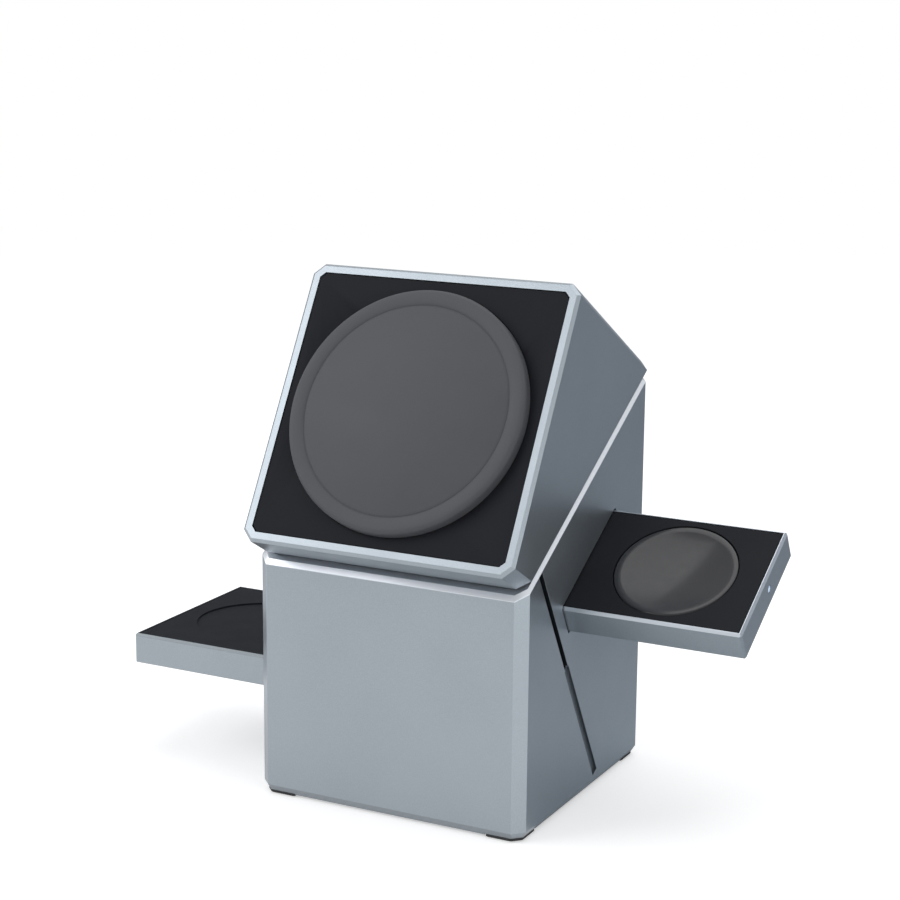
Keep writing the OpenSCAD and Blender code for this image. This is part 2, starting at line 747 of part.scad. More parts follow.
// A tray, its outer end at x = 0 and its tail towards -x. A round seat on its
// floor carries the coil, and a step inside its rim carries the cover.
module tray_shell(w, seat_r, seat_h) {
    difference() {
        translate([-tray_len / 2, 0, 0])
            bevel_box([tray_len, w, tray_t], tray_bevel, tray_low_bevel);
        translate([cover_inset - 0.1 - tray_len, cover_inset - 0.1 - w / 2, tray_top - cover_t])
            cube([tray_len - 2 * cover_inset + 0.2, w - 2 * cover_inset + 0.2, tray_t]);
        difference() {
            translate([tray_wall - tray_len, tray_wall - w / 2, tray_floor])
                cube([tray_len - 2 * tray_wall, w - 2 * tray_wall, tray_t]);
            translate([coil_x, 0, tray_floor - 1]) cylinder(r = seat_r, h = seat_h + 1);
            translate([stop_x, 0, tray_floor - 1]) cylinder(r = 2, h = 2);
        }
        translate([stop_x, 0, -tray_t]) cylinder(r = small_screw_r, h = tray_t + 2);
    }
}
module tray_cover_blank(w) {
    translate([-tray_len / 2, 0, tray_top - cover_t / 2])
        bevel_box([tray_len - 2 * cover_inset, w - 2 * cover_inset, cover_t], 0.15, 0.15);
}
module tray_stop_screw() {
    translate([stop_x, 0, -tray_t / 2]) {
        translate([0, 0, -1.2]) cylinder(r = small_head_r, h = 1.2);
        cylinder(r = small_screw_r - 0.05, h = tray_wall + 1);
    }
}
module tray_board(w) {
    translate([9 - tray_len, 0, tray_floor + 0.2]) {
        translate([0, -w / 2 + 5, 0]) cube([11, w - 10, tray_board_t]);
        translate([0, 0, tray_board_t]) board_parts(tray_parts);
    }
}

module watch_tray_shell() {
    color(metal) watch_at() difference() {
        tray_shell(watch_w, puck_r - 1, puck_seat_h);
        translate([-tray_wall - 1, light_y, 0]) rotate([0, 90, 0])
            cylinder(r = light_r + 0.05, h = tray_wall + 2);
    }
}
module watch_tray_cover() {
    color(dark) watch_at() difference() {
        tray_cover_blank(watch_w);
        translate([coil_x, 0, -1]) cylinder(r = puck_r + 0.1, h = tray_t);
    }
}
// The round puck: a shallow dish for the back of a watch, and a flange that the
// cover holds down.
module watch_puck() {
    depth = dish_r - sqrt(dish_r * dish_r - pow(puck_r - puck_rim, 2));
    color([0.05, 0.05, 0.06]) watch_at() translate([coil_x, 0, tray_top - puck_t])
        difference() {
            union() {
                cylinder(r = puck_r, h = puck_t);
                cylinder(r = puck_r + 0.5, h = puck_t - cover_t - 0.05);
            }
            translate([0, 0, puck_t + dish_r - depth]) sphere(r = dish_r, $fn = 128);
            translate([0, 0, -1]) cylinder(r = puck_r - puck_rim, h = 2.2);
        }
}
module watch_shield() {
    color(ferrite) watch_at() translate([coil_x, 0, tray_floor + puck_seat_h])
        cylinder(r = puck_r - puck_rim - 0.2, h = watch_shield_t);
}
module watch_coil() {
    color(copper) watch_at() on_watch_shield() ring(puck_r - puck_rim - 0.4, 5, 1.2);
}
module watch_magnet() {
    color(steel) watch_at() on_watch_shield() cylinder(r = 4.4, h = 1.8);
}
module on_watch_shield() {
    translate([coil_x, 0, tray_floor + puck_seat_h + watch_shield_t]) children();
}
module watch_board() { color(laminate) watch_at() tray_board(watch_w); }
// A clear pin through the tray's outer end that shows the charging light.
module watch_light() {
    color([0.75, 0.88, 0.98]) watch_at() translate([-tray_wall - 2, light_y, 0])
        rotate([0, 90, 0]) cylinder(r = light_r, h = tray_wall + 1.95);
}
module watch_stop_screw() { color(steel) watch_at() tray_stop_screw(); }

module ear_tray_shell() { color(metal) ear_at() tray_shell(ear_w, ear_seat_r, ear_seat_h); }
module ear_tray_cover() {
    color(dark) ear_at() difference() {
        tray_cover_blank(ear_w);
        translate([coil_x, 0, tray_top - ear_dish_h]) cylinder(r = ear_dish_r, h = 1);
    }
}
module ear_shield() {
    color(ferrite) ear_at() translate([coil_x, 0, tray_floor + ear_seat_h])
        cylinder(r = ear_seat_r - 0.5, h = ear_shield_t);
}
module ear_coil() {
    color(copper) ear_at() translate([coil_x, 0, tray_floor + ear_seat_h + ear_shield_t])
        ring(ear_seat_r - 1.5, 7, 1.4);
}
module ear_board() { color(laminate) ear_at() tray_board(ear_w); }
module ear_stop_screw() { color(steel) ear_at() tray_stop_screw(); }

base_shell();
base_deck();
base_plate();
foot_front_left();
foot_front_right();
foot_rear_left();
foot_rear_right();
plate_screws();
deck_screws();
inner_frame();
frame_screws();
main_board();
usb_c_socket();
swivel_bush();
thrust_ring();
head_shell();
head_deck();
head_deck_screws();
swivel_shaft();
shaft_screws();
spring_washer();
swivel_nut();
stop_pin();
phone_panel();
phone_pad();
phone_magnets();
phone_coil();
phone_shield();
coil_carrier();
carrier_screws();
head_board();
watch_tray_shell();
watch_tray_cover();
watch_puck();
watch_coil();
watch_magnet();
watch_shield();
watch_board();
watch_light();
watch_stop_screw();
ear_tray_shell();
ear_tray_cover();
ear_coil();
ear_shield();
ear_board();
ear_stop_screw();
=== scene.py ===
import json
import math
import bmesh
import bpy
import numpy as np
from mathutils import Matrix, Vector


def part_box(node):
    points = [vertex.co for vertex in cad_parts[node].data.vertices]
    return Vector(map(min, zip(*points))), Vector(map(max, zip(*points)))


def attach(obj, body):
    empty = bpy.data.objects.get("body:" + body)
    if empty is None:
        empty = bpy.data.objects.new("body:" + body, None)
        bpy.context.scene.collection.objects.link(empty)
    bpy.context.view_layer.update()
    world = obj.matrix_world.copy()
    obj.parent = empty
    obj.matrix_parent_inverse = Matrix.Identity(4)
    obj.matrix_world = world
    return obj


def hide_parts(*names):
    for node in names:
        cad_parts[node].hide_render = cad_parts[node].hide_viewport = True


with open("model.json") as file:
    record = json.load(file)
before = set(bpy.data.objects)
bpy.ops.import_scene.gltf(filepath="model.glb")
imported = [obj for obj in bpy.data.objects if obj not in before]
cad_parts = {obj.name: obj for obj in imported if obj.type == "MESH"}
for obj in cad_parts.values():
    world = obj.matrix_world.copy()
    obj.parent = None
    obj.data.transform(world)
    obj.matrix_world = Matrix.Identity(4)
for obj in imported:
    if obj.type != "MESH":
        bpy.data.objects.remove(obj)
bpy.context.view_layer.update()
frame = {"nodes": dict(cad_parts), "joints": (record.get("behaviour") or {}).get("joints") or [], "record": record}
slotOf = {part["node"]: part["material_slot"] for part in frame["record"]["subparts"]}
bodyOf = {node: body for body, nodes in frame["record"]["behaviour"]["bodies"].items() for node in nodes}
print("solids loaded:", len(frame["nodes"]))

# Shapes are worked out in millimetres and put into the meshes in metres.
mm = 0.001
rightWay = np.array([1.0, 0.0, 0.0])
rearWay = np.array([0.0, 1.0, 0.0])
upWay = np.array([0.0, 0.0, 1.0])

# The head turns about the line square to the cut, so that line gives the slope.
twist = next(j for j in frame["joints"] if j["name"] == "head_twist")
cutWay, swivel = np.array(twist["axis"], float), np.array(twist["pos_m"], float)
slopeAngle = math.atan2(-cutWay[1], cutWay[2])
slopeWay = np.array([0.0, math.cos(slopeAngle), math.sin(slopeAngle)])          # up the slope
faceWay = np.array([0.0, -math.sin(2 * slopeAngle), math.cos(2 * slopeAngle)])  # out of the phone face


def vertsOf(node):
    # vertex places of a solid, in mm
    mesh = frame["nodes"][node].data
    places = np.empty(len(mesh.vertices) * 3, np.float32)
    mesh.vertices.foreach_get("co", places)
    return places.reshape(-1, 3).astype(float) / mm


def seatOf(places, axis, side=rightWay):
    # rows are the side, the way across and the axis; the origin is the middle of the top
    rows = np.array([side, np.cross(axis, side), axis])
    local = places @ rows.T
    low, high = local.min(0), local.max(0)
    middle = np.append((low[:2] + high[:2]) / 2, high[2])
    return {"rows": rows, "origin": middle @ rows, "size": high - low}


def quarterSeats(places, axis):
    # four like pieces in one node, parted by the middle lines of the node
    whole = seatOf(places, axis)
    local = (places - whole["origin"]) @ whole["rows"].T
    right, rear = local[:, 0] > 0, local[:, 1] > 0
    quarters = [(right == a) & (rear == b) for a in (False, True) for b in (False, True)]
    return [seatOf(places[quarter], axis) for quarter in quarters]


def place(seat, grid):
    return seat["origin"] + grid @ seat["rows"]


def gridQuads(rows, cols, start):
    # the four corners of each cell of a grid whose columns run right round
    r = np.arange(rows - 1)[:, None] * cols
    c = np.arange(cols)[None, :]
    c2 = (c + 1) % cols
    quads = np.stack([r + c, r + c2, r + cols + c2, r + cols + c], -1)
    return quads.reshape(-1, 4) + start


def capFan(cols, ring, centre):
    # a triangle from each step of an end row to that row's middle
    c = np.arange(cols)
    return np.stack([ring + c, ring + (c + 1) % cols, np.full(cols, centre)], -1)


# How new pieces are welded, and how the solids with broken edges are; gaps in metres, angles in degrees
weld = {"sameSpot": 1e-7, "thin": 1e-8, "sharp": 38}
trim = {"sameSpot": 2e-6, "flat": 0.4, "sharp": 30, "steps": 2}


def buildPiece(name, grids, body, material, stands=()):
    # each grid is (rows, columns, 3), closed round its columns and capped at both end rows
    verts, faces, start = [], [], 0
    for grid in grids:
        rows, cols = grid.shape[:2]
        last = start + rows * cols
        verts += [grid.reshape(-1, 3), np.stack([grid[0].mean(0), grid[-1].mean(0)])]
        faces += gridQuads(rows, cols, start).tolist()
        faces += capFan(cols, start, last).tolist()
        faces += capFan(cols, last - cols, last + 1).tolist()
        start = last + 2
    mesh = bpy.data.meshes.new(name)
    mesh.from_pydata((np.concatenate(verts) * mm).tolist(), [], faces)
    work = bmesh.new()
    work.from_mesh(mesh)
    bmesh.ops.remove_doubles(work, verts=work.verts, dist=weld["sameSpot"])
    bmesh.ops.dissolve_degenerate(work, edges=work.edges, dist=weld["thin"])
    bmesh.ops.recalc_face_normals(work, faces=work.faces)
    work.to_mesh(mesh)
    work.free()
    mesh.polygons.foreach_set("use_smooth", np.ones(len(mesh.polygons), bool))
    mesh.set_sharp_from_angle(angle=math.radians(weld["sharp"]))
    mesh.materials.append(material)
    piece = bpy.data.objects.new(name, mesh)
    bpy.context.scene.collection.objects.link(piece)
    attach(piece, body)
    if stands:
        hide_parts(*stands)


def softened(node, name, width, material):
    # the solid itself with its loose triangles merged and its edges broken by a small bevel
    mesh = frame["nodes"][node].data.copy()
    mesh.name = name
    work = bmesh.new()
    work.from_mesh(mesh)
    bmesh.ops.remove_doubles(work, verts=work.verts, dist=trim["sameSpot"])
    bmesh.ops.dissolve_limit(work, angle_limit=math.radians(trim["flat"]), verts=work.verts,
                             edges=work.edges)
    bmesh.ops.recalc_face_normals(work, faces=work.faces)
    work.to_mesh(mesh)
    work.free()
    mesh.materials.clear()
    mesh.materials.append(material)
    mesh.polygons.foreach_set("use_smooth", np.ones(len(mesh.polygons), bool))
    mesh.set_sharp_from_angle(angle=math.radians(trim["sharp"]))
    piece = bpy.data.objects.new(name, mesh)
    bpy.context.scene.collection.objects.link(piece)
    bevel = piece.modifiers.new("brokenEdges", "BEVEL")
    bevel.width = width * mm
    bevel.segments = trim["steps"]
    bevel.limit_method = "ANGLE"
    bevel.angle_limit = math.radians(trim["sharp"])
    bevel.use_clamp_overlap = True
    bevel.harden_normals = True
    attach(piece, bodyOf[node])
    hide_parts(node)


def roundCorners(points, cut, steps):
    # each corner becomes a curve from a point cut short of it to a point cut past it:
    # (1 - t)^2 * before + 2 t (1 - t) * corner + t^2 * after
    before, after = np.roll(points, 1, -2) - points, np.roll(points, -1, -2) - points
    before /= np.linalg.norm(before, axis=-1, keepdims=True)
    after /= np.linalg.norm(after, axis=-1, keepdims=True)
    cut = np.asarray(cut, float)[..., None, None] * np.ones(points.shape[:-1] + (1,))
    t = np.linspace(0, 1, steps)[:, None]
    start, corner, end = (p[..., None, :] for p in (points + before * cut, points, points + after * cut))
    curve = (1 - t) ** 2 * start + 2 * t * (1 - t) * corner + t ** 2 * end
    return curve.reshape(points.shape[:-2] + (-1, 2))


def insetCorners(corners, insets):
    # an anticlockwise outline moved inwards: each corner slides along its two edges' inner normals
    edges = np.roll(corners, -1, 0) - corners
    edges /= np.linalg.norm(edges, axis=1, keepdims=True)
    inner = np.stack([-edges[:, 1], edges[:, 0]], -1)
    previous = np.roll(inner, 1, 0)
    slide = (inner + previous) / (1 + (inner * previous).sum(1, keepdims=True))
    return corners + np.asarray(insets, float)[:, None, None] * slide


def loft(corners, cut, insets, heights, steps):
    # one rounded outline for each pair of inset and height; the corners get tighter as it shrinks
    insets = np.asarray(insets, float)
    rings = roundCorners(insetCorners(corners, insets), np.maximum(cut - 0.6 * insets, 0.05), steps)
    heights = np.broadcast_to(np.asarray(heights, float)[:, None, None], rings.shape[:2] + (1,))
    return np.concatenate([rings, heights], -1)


def revolve(profile, cols):
    # a profile of radius and height turned once round the axis: (r cos t, r sin t, h)
    turn = np.linspace(0, 2 * math.pi, cols, endpoint=False)
    r, h = profile[:, 0:1], profile[:, 1:2]
    return np.stack([r * np.cos(turn), r * np.sin(turn), h + 0 * turn], -1)


def spiralTube(innerR, outerR, turns, halfH):
    # the radius grows evenly with the angle, and an oval a little narrower than the pitch is carried
    # along: ((R + w cos s) cos t, (R + w cos s) sin t, h sin s)
    wire = {"stepsPerTurn": 72, "sides": 8, "halfWide": 0.46}
    pitch = (outerR - innerR) / turns
    angle = np.linspace(0, 2 * math.pi * turns, turns * wire["stepsPerTurn"])[:, None]
    radius = innerR + pitch / 2 + (outerR - innerR - pitch) * angle / angle[-1]
    around = np.linspace(0, 2 * math.pi, wire["sides"], endpoint=False)[None, :]
    reach = radius + wire["halfWide"] * pitch * np.cos(around)
    return np.stack([reach * np.cos(angle), reach * np.sin(angle), halfH * np.sin(around) + 0 * angle], -1)


# Materials. All patterns read Object coordinates, which are metres in the shared frame.
class Paint:
    # a small bench for one material: its tree, its shader and the calls that join nodes up
    def __init__(self, name, color, roughness, metallic=0.0):
        self.material = bpy.data.materials.new(name)
        self.material.use_nodes = True
        self.tree = self.material.node_tree
        self.shader = self.tree.nodes["Principled BSDF"]
        self.put("Base Color", (*color, 1))
        self.put("Roughness", roughness)
        self.put("Metallic", metallic)
        self.coords = self.tree.nodes.new("ShaderNodeTexCoord").outputs["Object"]

    def put(self, socket, value):
        self.shader.inputs[socket].default_value = value

    def join(self, source, socket):
        self.tree.links.new(source, self.shader.inputs[socket])

    def node(self, kind, links=None, **values):
        made = self.tree.nodes.new(kind)
        for key, value in values.items():
            setattr(made, key, value)
        for key, source in (links or {}).items():
            if isinstance(source, bpy.types.NodeSocket):
                self.tree.links.new(source, made.inputs[key])
            else:
                made.inputs[key].default_value = source
        return made

    def noise(self, scale, detail, rough=0.5):
        made = self.node("ShaderNodeTexNoise", {"Vector": self.coords, "Scale": scale, "Detail": detail,
                                                "Roughness": rough})
        return made.outputs["Fac"]

    def spread(self, source, low, high, outLow, outHigh):
        made = self.node("ShaderNodeMapRange", {"Value": source, "From Min": low, "From Max": high,
                                                "To Min": outLow, "To Max": outHigh})
        return made.outputs["Result"]

    def clouds(self, scale, detail, low=0.0, high=1.0, middle=(0.3, 0.7)):
        # noise whose middle part is stretched to run from low to high
        return self.spread(self.noise(scale, detail), *middle, low, high)

    def blend(self, factor, first, second):
        made = self.node("ShaderNodeMix", data_type="RGBA")
        for key, value in (("Factor", factor), ("A", first), ("B", second)):
            socket = next(s for s in made.inputs if s.name == key and s.enabled)
            if isinstance(value, bpy.types.NodeSocket):
                self.tree.links.new(value, socket)
            else:
                socket.default_value = (*value, 1) if key != "Factor" else value
        return next(s for s in made.outputs if s.enabled)

    def grain(self, height, strength, distance):
        made = self.node("ShaderNodeBump", {"Height": height, "Strength": strength, "Distance": distance})
        self.join(made.outputs["Normal"], "Normal")

    def along(self, way):
        # how far a point lies along a direction, in metres
        made = self.node("ShaderNodeVectorMath", {0: self.coords, 1: tuple(way)}, operation="DOT_PRODUCT")
        return made.outputs["Value"]

    def reach(self):
        # how far a point lies from the middle of the frame
        return self.node("ShaderNodeVectorMath", {0: self.coords}, operation="LENGTH").outputs["Value"]

    def times(self, first, second):
        return self.node("ShaderNodeMath", {0: first, 1: second}, operation="MULTIPLY").outputs[0]

    def less(self, first, second):
        return self.node("ShaderNodeMath", {0: first, 1: second}, operation="SUBTRACT").outputs[0]

    def within(self, way, low, high):
        # 1 where a point lies between two distances along a direction
        held = self.node("ShaderNodeMath", {0: self.along(way), 1: (low + high) / 2, 2: (high - low) / 2},
                         operation="COMPARE")
        return held.outputs[0]


def anodised(name, look, bareOrPaintedEdge=None, shadeBands=()):
    # bead-blasted aluminium under a tinted oxide: cloudy tone, fine sparkle, patchy gloss
    paint = Paint(name, look["tone"], look["roughness"], look["metallic"])
    tone = paint.blend(paint.clouds(look["cloudScale"], 2.0), look["tone"], look["otherTone"])
    sparkle = paint.clouds(look["grainScale"], 1.0, 0, look["grainFade"], (0.35, 0.65))
    tone = paint.blend(sparkle, tone, look["sparkle"])
    gloss = paint.clouds(look["glossScale"], 4.0, look["roughness"] - 0.03, look["roughness"] + 0.03)
    if bareOrPaintedEdge:
        # the bevel just under a level gets a tone of its own: on the base it is cut after the blasting and bare,
        # on the watch tray the tone is a painted highlight and on the ear tray painted shade
        far = paint.less(bareOrPaintedEdge["level"], paint.along(bareOrPaintedEdge["way"]))
        bareOrPaintedMask = paint.spread(far, bareOrPaintedEdge["depth"] * 0.9, bareOrPaintedEdge["depth"] * 1.1, 1, 0)
        tone = paint.blend(bareOrPaintedMask, tone, bareOrPaintedEdge["tone"])
        gloss = paint.less(gloss, paint.times(bareOrPaintedMask, look["roughness"] - bareOrPaintedEdge["roughness"]))
    for paintedShade in shadeBands:
        # each band of painted shade keeps to all of its limits, each a direction with the two distances between
        inside = 1.0
        for way, low, high in paintedShade["limits"]:
            inside = paint.times(inside, paint.within(way, low, high))
        tone = paint.blend(inside, tone, paintedShade["tone"])
    paint.join(tone, "Base Color")
    paint.join(gloss, "Roughness")
    paint.grain(paint.noise(look["grainScale"], 2.0), look["grainBump"], look["grainDepth"])
    return paint.material


def matt(name, look):
    # moulded or rubbery surface: slight mottling in tone, spark or skin texture in the bump
    paint = Paint(name, look["tone"], look["roughness"])
    mottle = paint.clouds(look["mottleScale"], 4.0)
    paint.join(paint.blend(mottle, look["tone"], look["otherTone"]), "Base Color")
    paint.join(paint.spread(mottle, 0, 1, look["roughness"] - 0.05, look["roughness"] + 0.05), "Roughness")
    paint.grain(paint.noise(look["skinScale"], 3.0, 0.6), look["skinBump"], look["skinDepth"])
    paint.put("Specular IOR Level", look.get("specular", 0.5))
    return paint.material


casingLook = {"tone": (0.280, 0.318, 0.348), "otherTone": (0.305, 0.340, 0.374), "metallic": 0.86,
              "roughness": 0.40, "cloudScale": 26.0, "glossScale": 70.0, "grainScale": 5200.0,
              "grainFade": 0.16, "sparkle": (0.46, 0.50, 0.54), "grainBump": 0.22, "grainDepth": 0.00004}


def topEdge(node, way, depth, tone, roughness):
    # the bevel round the top of a shell, down to a depth below its highest point
    return {"way": way, "level": (vertsOf(node) @ way).max() * mm, "depth": depth, "tone": tone,
            "roughness": roughness}


seamEdge = topEdge("base_shell", cutWay, 0.78 * mm, (0.64, 0.665, 0.71), 0.36)
# the lighter tone on the watch tray's top bevel is a painted highlight
watchTrayEdgeHighlight = topEdge("watch_tray_shell", cutWay, 0.60 * mm, (0.50, 0.54, 0.59), 0.34)
# the darker tone on the ear tray's top bevel is painted shade
earTrayEdgeShade = topEdge("ear_tray_shell", upWay, 0.60 * mm, (0.165, 0.185, 0.20), 0.42)

# The slot and the groove that carries it on are milled through the finish; the dark inside them is painted shade.
# They lie down the slope from the swivel, their ends are distances below the cut, and they stop at the skin
# of the right side. The bevel under the front and rear faces is painted a little darker than the faces, as painted
# shade.
slotShade = {"down": 30.8 * mm, "from": 0.86 * mm, "to": 30.1 * mm, "half": 0.9 * mm,
           "tone": (0.06, 0.07, 0.08)}
grooveShade = {"from": 30.1 * mm, "to": 64.1 * mm, "half": 1.22 * mm, "tone": (0.15, 0.17, 0.19)}
skin = 32.93 * mm
# the darker tone on the bevel under the front and rear faces is painted shade
underBevelShade = {"from": 0.3 * mm, "to": 2.1 * mm, "half": 30.5 * mm, "tone": (0.250, 0.278, 0.303)}
slotMiddle, cutLevel = swivel @ slopeWay - slotShade["down"], swivel @ cutWay


# a band of painted shade inside one of the two cuts, placed by where it lies
def cutShadeBand(cut):
    return {"limits": [(slopeWay, slotMiddle - cut["half"], slotMiddle + cut["half"]),
                       (cutWay, cutLevel - cut["to"], cutLevel - cut["from"]),
                       (rightWay, 0.0, skin)], "tone": cut["tone"]}


shadeBands = [cutShadeBand(slotShade), cutShadeBand(grooveShade),
         {"limits": [(upWay, underBevelShade["from"], underBevelShade["to"]),
                     (rightWay, -underBevelShade["half"], underBevelShade["half"])], "tone": underBevelShade["tone"]}]
baseMetal = anodised("baseMetal", casingLook, seamEdge, shadeBands)
headMetal = anodised("headMetal", casingLook)
watchTrayMetal = anodised("watchTrayMetal", casingLook, watchTrayEdgeHighlight)
earTrayMetal = anodised("earTrayMetal", casingLook, earTrayEdgeShade)

mattLooks = {
    "foot": {"tone": (0.016, 0.017, 0.019), "otherTone": (0.026, 0.027, 0.030), "roughness": 0.78,
             "mottleScale": 420.0, "skinScale": 3800.0, "skinBump": 0.5, "skinDepth": 0.00006},
    "moulding": {"tone": (0.040, 0.041, 0.045), "otherTone": (0.052, 0.053, 0.057), "roughness": 0.55,
                 "mottleScale": 160.0, "skinScale": 2600.0, "skinBump": 0.45, "skinDepth": 0.00005},
    "face_panel": {"tone": (0.009, 0.010, 0.013), "otherTone": (0.013, 0.014, 0.018), "roughness": 0.62,
                   "mottleScale": 90.0, "skinScale": 4200.0, "skinBump": 0.30, "skinDepth": 0.00003,
                   "specular": 0.12},
    "soft_pad": {"tone": (0.055, 0.058, 0.066), "otherTone": (0.068, 0.071, 0.080), "roughness": 0.66,
                 "mottleScale": 120.0, "skinScale": 5200.0, "skinBump": 0.28, "skinDepth": 0.00003},
    "low_friction": {"tone": (0.76, 0.74, 0.68), "otherTone": (0.82, 0.81, 0.76), "roughness": 0.42,
                     "mottleScale": 240.0, "skinScale": 1800.0, "skinBump": 0.15, "skinDepth": 0.00002},
    "ferrite": {"tone": (0.050, 0.049, 0.052), "otherTone": (0.085, 0.083, 0.086), "roughness": 0.62,
                "mottleScale": 900.0, "skinScale": 2400.0, "skinBump": 0.55, "skinDepth": 0.00005},
}
finishOf = {slot: matt(slot, look) for slot, look in mattLooks.items()}
finishOf["casing"] = headMetal


def milledDeck():
    # fine turning rings round the swivel, as the facing cut leaves them
    paint = Paint("deck", (0.50, 0.53, 0.57), 0.34, 0.9)
    centred = paint.node("ShaderNodeMapping", {"Vector": paint.coords, "Location": tuple(-swivel)})
    level = paint.node("ShaderNodeVectorRotate", {"Vector": centred.outputs[0], "Angle": -slopeAngle},
                       rotation_type="X_AXIS")
    rings = paint.node("ShaderNodeTexWave", {"Vector": level.outputs[0], "Scale": 620.0, "Distortion": 0.4,
                                             "Detail": 1.0}, wave_type="RINGS", rings_direction="Z")
    tone = paint.blend(rings.outputs["Fac"], (0.44, 0.47, 0.51), (0.56, 0.59, 0.63))
    paint.join(tone, "Base Color")
    paint.grain(rings.outputs["Fac"], 0.35, 0.00003)
    return paint.material


def platedMetal(name, tone, otherTone, roughness, lines):
    # plated or drawn metal: faint turning lines and small tarnish clouds
    paint = Paint(name, tone, roughness, 1.0)
    paint.join(paint.blend(paint.clouds(340.0, 3.0), tone, otherTone), "Base Color")
    paint.join(paint.clouds(900.0, 2.0, roughness - 0.07, roughness + 0.07), "Roughness")
    stretched = paint.node("ShaderNodeMapping", {"Vector": paint.coords,
                                                 "Scale": (lines, lines, lines * 6)})
    fine = paint.node("ShaderNodeTexNoise", {"Vector": stretched.outputs[0], "Scale": 1.0, "Detail": 2.0})
    paint.grain(fine.outputs["Fac"], 0.2, 0.00002)
    return paint.material


def solderMask():
    # green lacquer over copper tracks, with a woven glass undertone
    paint = Paint("board", (0.02, 0.09, 0.06), 0.32)
    tracks = paint.node("ShaderNodeTexBrick", {"Vector": paint.coords, "Scale": 260.0, "Mortar Size": 0.06,
                                               "Color1": (0.016, 0.085, 0.055, 1),
                                               "Color2": (0.020, 0.105, 0.070, 1),
                                               "Mortar": (0.045, 0.17, 0.10, 1)})
    paint.join(tracks.outputs["Color"], "Base Color")
    paint.grain(tracks.outputs["Fac"], 0.25, 0.00003)
    paint.put("Coat Weight", 0.5)
    paint.put("Coat Roughness", 0.12)
    return paint.material


def polishedPuck():
    # near-black polished plastic with a trace of depth
    paint = Paint("puck", (0.020, 0.021, 0.024), 0.16)
    cloud = paint.clouds(60.0, 2.0)
    paint.join(paint.blend(cloud, (0.018, 0.019, 0.022), (0.024, 0.025, 0.029)), "Base Color")
    paint.join(paint.clouds(700.0, 3.0, 0.13, 0.20), "Roughness")
    paint.grain(paint.noise(1500.0, 2.0), 0.06, 0.00002)
    paint.put("Specular IOR Level", 0.3)
    paint.put("Coat Weight", 0.15)
    paint.put("Coat Roughness", 0.08)
    return paint.material


def litPin():
    # frosted pin with a cool charging light behind it
    paint = Paint("light_pin", (0.72, 0.84, 0.98), 0.35)
    haze = paint.clouds(1600.0, 3.0)
    paint.join(paint.blend(haze, (0.60, 0.76, 0.98), (0.78, 0.88, 1.0)), "Base Color")
    paint.join(paint.blend(haze, (0.36, 0.58, 0.95), (0.55, 0.74, 1.0)), "Emission Color")
    paint.put("Emission Strength", 0.16)
    paint.grain(haze, 0.2, 0.00002)
    return paint.material


finishOf["deck"] = milledDeck()
finishOf["steel"] = platedMetal("steel", (0.50, 0.51, 0.53), (0.62, 0.62, 0.62), 0.30, 500.0)
finishOf["magnet"] = platedMetal("magnet", (0.62, 0.61, 0.59), (0.70, 0.69, 0.66), 0.20, 300.0)
finishOf["copper"] = platedMetal("copper", (0.62, 0.27, 0.12), (0.72, 0.36, 0.18), 0.28, 400.0)
finishOf["gold"] = platedMetal("gold", (0.80, 0.58, 0.24), (0.86, 0.66, 0.32), 0.24, 400.0)
finishOf["board"] = solderMask()
finishOf["puck"] = polishedPuck()
finishOf["light_pin"] = litPin()

for node, solid in frame["nodes"].items():
    solid.data.materials.clear()
    solid.data.materials.append(finishOf[slotOf[node]])
print("finishes made:", len(bpy.data.materials))

# Metal shells, panels and the magnet ring: the solids with broken edges, by these widths in mm
edges = {"shell": 0.16, "tray": 0.08, "panel": 0.10, "small": 0.08}
softened("base_shell", "base_casing", edges["shell"], baseMetal)
softened("head_shell", "head_casing", edges["shell"], headMetal)
softened("watch_tray_shell", "watch_tray_body", edges["tray"], watchTrayMetal)
softened("ear_tray_shell", "ear_tray_body", edges["tray"], earTrayMetal)
softened("watch_tray_cover", "watch_tray_top", edges["panel"], finishOf[slotOf["watch_tray_cover"]])
softened("ear_tray_cover", "ear_tray_top", edges["panel"], finishOf[slotOf["ear_tray_cover"]])
softened("phone_panel", "phone_face_panel", edges["panel"], finishOf[slotOf["phone_panel"]])
softened("phone_magnets", "phone_magnet_ring", edges["small"], finishOf["magnet"])
print("shells and panels softened")


def rubberFoot(node):
    # the foot's outline follows the casing's chamfered corner. Its edge rolls under by a quarter
    # circle, inset r (1 - sin t) and height r (1 - cos t), and it stands in its notch on a narrower neck
    foot = {"chamfer": 2.0, "roll": 0.25, "cut": 0.6, "draft": 0.06, "standIn": 1.5, "stand": 0.3}
    low, high = (np.array(c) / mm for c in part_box(node))
    sx, sy = np.sign(low[0] + high[0]), 1.0 if node.startswith("foot_rear") else -1.0
    w, d, c = high[0] - low[0], high[1] - low[1], foot["chamfer"]
    corners = np.array([[0, 0], [w, 0], [w, d - c], [w - c, d], [0, d]])
    turn = np.linspace(0, math.pi / 2, 6)
    insets = list(foot["roll"] * (1 - np.sin(turn))) + [foot["draft"] / 2, foot["draft"]]
    insets += [foot["standIn"], foot["standIn"]]
    wallTop = high[2] - low[2] - foot["stand"]
    levels = list(foot["roll"] * (1 - np.cos(turn))) + [wallTop * 0.6, wallTop]
    levels += [wallTop, high[2] - low[2]]
    grid = loft(corners, foot["cut"], insets, levels, 5)
    inner = np.array([low[0] if sx > 0 else high[0], low[1] if sy > 0 else high[1], low[2]])
    return inner + grid * np.array([sx, sy, 1.0])


for node in ("foot_front_left", "foot_front_right", "foot_rear_left", "foot_rear_right"):
    buildPiece(node + "_rubber", [rubberFoot(node)], "base", finishOf["foot"], [node])
print("feet made")


